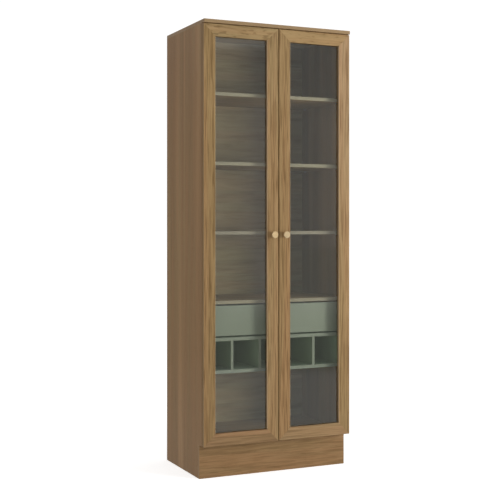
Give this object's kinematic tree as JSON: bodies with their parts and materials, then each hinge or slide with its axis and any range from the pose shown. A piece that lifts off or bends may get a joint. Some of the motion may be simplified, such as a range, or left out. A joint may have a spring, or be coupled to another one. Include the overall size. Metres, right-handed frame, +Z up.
{
  "type": "bookcase with glass doors",
  "caption": "Tall narrow oak-veneer bookcase on a recessed plinth, with two hinged glazed doors with round knobs, oak shelves, a green drawer and a row of green cubbies.",
  "frame": {"origin": "on the floor, under the middle of the whole object's box, knobs included", "axes": "+Z up, +X to the right seen from the front, +Y from the doors towards the back; the doors face -Y"},
  "size_m": [0.722, 0.487, 2],
  "materials": {
    "oak_carcase": "matt-lacquered oak veneer, vertical grain on the sides",
    "oak_plinth": "matt-lacquered oak veneer, horizontal grain",
    "oak_shelf": "matt-lacquered oak veneer",
    "oak_back": "matt oak veneer, horizontal grain",
    "oak_door": "matt-lacquered oak, straight grain along each member",
    "clear_glass": "clear tempered glass",
    "sage_lacquer": "satin sage-green lacquer on board",
    "drawer_box": "lacquered birch plywood",
    "satin_brass": "satin brushed brass",
    "nickel_steel": "nickel-plated pressed steel",
    "zinc_steel": "bright zinc plate",
    "zinc_cast": "die-cast zinc",
    "runner_steel": "zinc-plated roll-formed steel",
    "beech": "fluted beech dowel",
    "clear_bumper": "clear soft polyurethane"
  },
  "bodies": {
    "carcase": {"side_panel_left": "oak_carcase", "side_panel_right": "oak_carcase", "top_panel": "oak_carcase", "bottom_panel": "oak_carcase", "fixed_shelf": "oak_shelf", "plinth_front": "oak_plinth", "plinth_rear": "oak_plinth", "back_panel": "oak_back", "shelf_lower": "oak_shelf", "shelf_middle": "oak_shelf", "shelf_upper": "oak_shelf", "shelf_pins": "zinc_steel", "dowels": "beech", "cam_bolts": "zinc_steel", "cam_locks": "zinc_cast", "cubby_top": "sage_lacquer", "cubby_bottom": "sage_lacquer", "cubby_side_left": "sage_lacquer", "cubby_side_right": "sage_lacquer", "cubby_back": "sage_lacquer", "cubby_divider_1": "sage_lacquer", "cubby_divider_2": "sage_lacquer", "cubby_divider_3": "sage_lacquer", "cubby_divider_4": "sage_lacquer", "drawer_runners": "runner_steel", "hinge_arms": "nickel_steel", "hinge_plates": "nickel_steel", "hinge_plate_screws": "zinc_steel", "wall_brackets": "zinc_steel", "wall_bracket_screws": "zinc_steel", "door_bumpers": "clear_bumper"},
    "left_door": {"left_hinge_stile": "oak_door", "left_meeting_stile": "oak_door", "left_top_rail": "oak_door", "left_bottom_rail": "oak_door", "left_glass": "clear_glass", "left_glazing_beads": "oak_door", "left_knob": "satin_brass", "left_knob_screw": "zinc_steel", "left_hinge_cups": "nickel_steel", "left_hinge_pins": "zinc_steel", "left_cup_screws": "zinc_steel"},
    "right_door": {"right_hinge_stile": "oak_door", "right_meeting_stile": "oak_door", "right_top_rail": "oak_door", "right_bottom_rail": "oak_door", "right_glass": "clear_glass", "right_glazing_beads": "oak_door", "right_knob": "satin_brass", "right_knob_screw": "zinc_steel", "right_hinge_cups": "nickel_steel", "right_hinge_pins": "zinc_steel", "right_cup_screws": "zinc_steel"},
    "drawer": {"drawer_front": "sage_lacquer", "drawer_side_left": "drawer_box", "drawer_side_right": "drawer_box", "drawer_back": "drawer_box", "drawer_bottom": "drawer_box", "drawer_slides": "runner_steel"}
  },
  "joints": [
    {"name": "left_door_hinge", "type": "hinge", "parent": "carcase", "child": "left_door", "pos_m": [-0.3528, -0.2089, 1.065], "axis": [0, 0, -1], "range_deg": [0, 100]},
    {"name": "right_door_hinge", "type": "hinge", "parent": "carcase", "child": "right_door", "pos_m": [0.3528, -0.2089, 1.065], "axis": [0, 0, 1], "range_deg": [0, 100]},
    {"name": "drawer_slide", "type": "slide", "parent": "carcase", "child": "drawer", "axis": [0, -1, 0], "range_m": [0, 0.034]}
  ]
}
